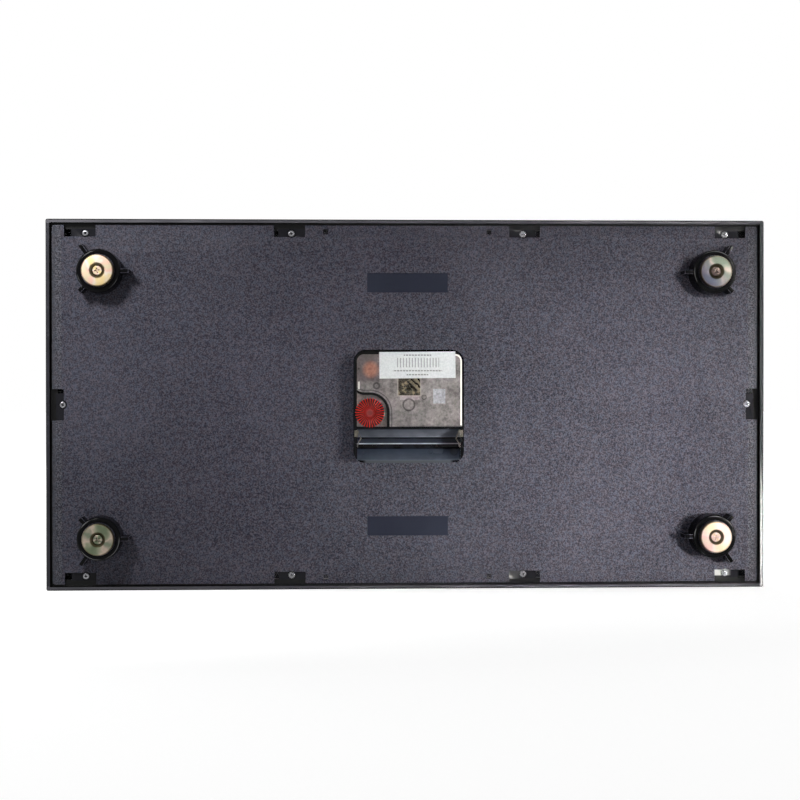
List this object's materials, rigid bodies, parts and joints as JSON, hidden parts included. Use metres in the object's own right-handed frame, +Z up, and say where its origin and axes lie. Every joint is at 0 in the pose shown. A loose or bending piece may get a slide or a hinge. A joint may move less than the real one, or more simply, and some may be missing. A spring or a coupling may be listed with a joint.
{
  "type": "double-sided clock",
  "caption": "Wide rectangular dial unit of a wall clock: bezel frame and lens in front, quartz movement and ring magnets on posts behind.",
  "frame": {"origin": "on the axis of the hand shaft, in the plane of the four magnet faces, where the unit meets the steel that holds it", "axes": "+Y out of the back, square to the steel it sticks to, +Z up, the dial faces -Y and its reader has +X to the right"},
  "size_m": [0.369, 0.0356, 0.1896],
  "materials": {
    "frame_black": "satin moulded",
    "panel_charcoal": "fine spark texture",
    "lens_clear": "clear polished",
    "dial_white": "flat",
    "case_black": "glossy moulded",
    "cover_smoke": "smoked clear",
    "knob_red": "moulded",
    "label_paper": "printed paper",
    "zinc_plate": "yellow zinc plated",
    "steel": "bright",
    "brass": "satin",
    "copper": "enamelled copper wire",
    "nylon": "natural",
    "board_brown": "laminate",
    "epoxy": "potted",
    "hand_black": "black paint",
    "hand_red": "red paint"
  },
  "bodies": {
    "housing": {"front_frame": "frame_black", "lens": "lens_clear", "dial_plate": "dial_white", "back_panel": "panel_charcoal", "panel_screw_1": "steel", "panel_screw_2": "steel", "panel_screw_3": "steel", "panel_screw_4": "steel", "panel_screw_5": "steel", "panel_screw_6": "steel", "panel_screw_7": "steel", "panel_screw_8": "steel", "panel_screw_9": "steel", "panel_screw_10": "steel", "magnet_1": "zinc_plate", "magnet_2": "zinc_plate", "magnet_3": "zinc_plate", "magnet_4": "zinc_plate", "magnet_screw_1": "zinc_plate", "magnet_screw_2": "zinc_plate", "magnet_screw_3": "zinc_plate", "magnet_screw_4": "zinc_plate", "movement_case": "case_black", "movement_cover": "cover_smoke", "movement_label": "label_paper", "mounting_nut": "brass", "dial_washer": "steel", "battery_contact_positive": "steel", "battery_contact_negative": "steel", "coil_bobbin": "nylon", "coil_winding": "copper", "stator": "steel", "circuit_board": "board_brown", "ic_chip": "epoxy", "crystal_can": "steel"},
    "minutes": {"minute_hand": "hand_black", "minute_pinion": "brass"},
    "hours": {"hour_hand": "hand_black", "hour_wheel": "nylon"},
    "motion_work": {"motion_wheel": "nylon"},
    "knob": {"set_knob": "knob_red"},
    "seconds": {"second_hand": "hand_red", "seconds_wheel": "nylon"},
    "intermediate": {"intermediate_wheel": "nylon"},
    "third": {"third_wheel": "nylon"},
    "centre": {"centre_wheel": "brass"},
    "step_rotor": {"rotor": "steel"}
  },
  "joints": [
    {"name": "minutes_turn", "type": "hinge", "parent": "housing", "child": "minutes", "pos_m": [0, 0, 0], "axis": [0, 1, 0], "continuous": true},
    {"name": "hours_turn", "type": "hinge", "parent": "housing", "child": "hours", "pos_m": [0, 0, 0], "axis": [0, 1, 0], "continuous": true},
    {"name": "motion_turn", "type": "hinge", "parent": "housing", "child": "motion_work", "pos_m": [0.00892, 0, -0.00118], "axis": [0, 1, 0], "continuous": true},
    {"name": "knob_turn", "type": "hinge", "parent": "housing", "child": "knob", "pos_m": [0.0198, 0, -0.00405], "axis": [0, 1, 0], "continuous": true},
    {"name": "seconds_turn", "type": "hinge", "parent": "housing", "child": "seconds", "pos_m": [0, 0, 0], "axis": [0, 1, 0], "continuous": true},
    {"name": "intermediate_turn", "type": "hinge", "parent": "housing", "child": "intermediate", "pos_m": [0.00492, 0, 0.00705], "axis": [0, 1, 0], "continuous": true},
    {"name": "third_turn", "type": "hinge", "parent": "housing", "child": "third", "pos_m": [-0.0077, 0, 0.0038], "axis": [0, 1, 0], "continuous": true},
    {"name": "centre_turn", "type": "hinge", "parent": "housing", "child": "centre", "pos_m": [0, 0, 0], "axis": [0, 1, 0], "continuous": true},
    {"name": "rotor_turn", "type": "hinge", "parent": "housing", "child": "step_rotor", "pos_m": [0.0126, 0, 0.0093], "axis": [0, 1, 0], "continuous": true}
  ],
  "couplings": [
    {"joint": "hours_turn", "follows": "minutes_turn", "ratio": 0.083333},
    {"joint": "motion_turn", "follows": "minutes_turn", "ratio": -0.33333},
    {"joint": "knob_turn", "follows": "minutes_turn", "ratio": 0.5},
    {"joint": "intermediate_turn", "follows": "seconds_turn", "ratio": -5},
    {"joint": "rotor_turn", "follows": "seconds_turn", "ratio": 30},
    {"joint": "third_turn", "follows": "seconds_turn", "ratio": -0.125},
    {"joint": "centre_turn", "follows": "seconds_turn", "ratio": 0.016667}
  ]
}
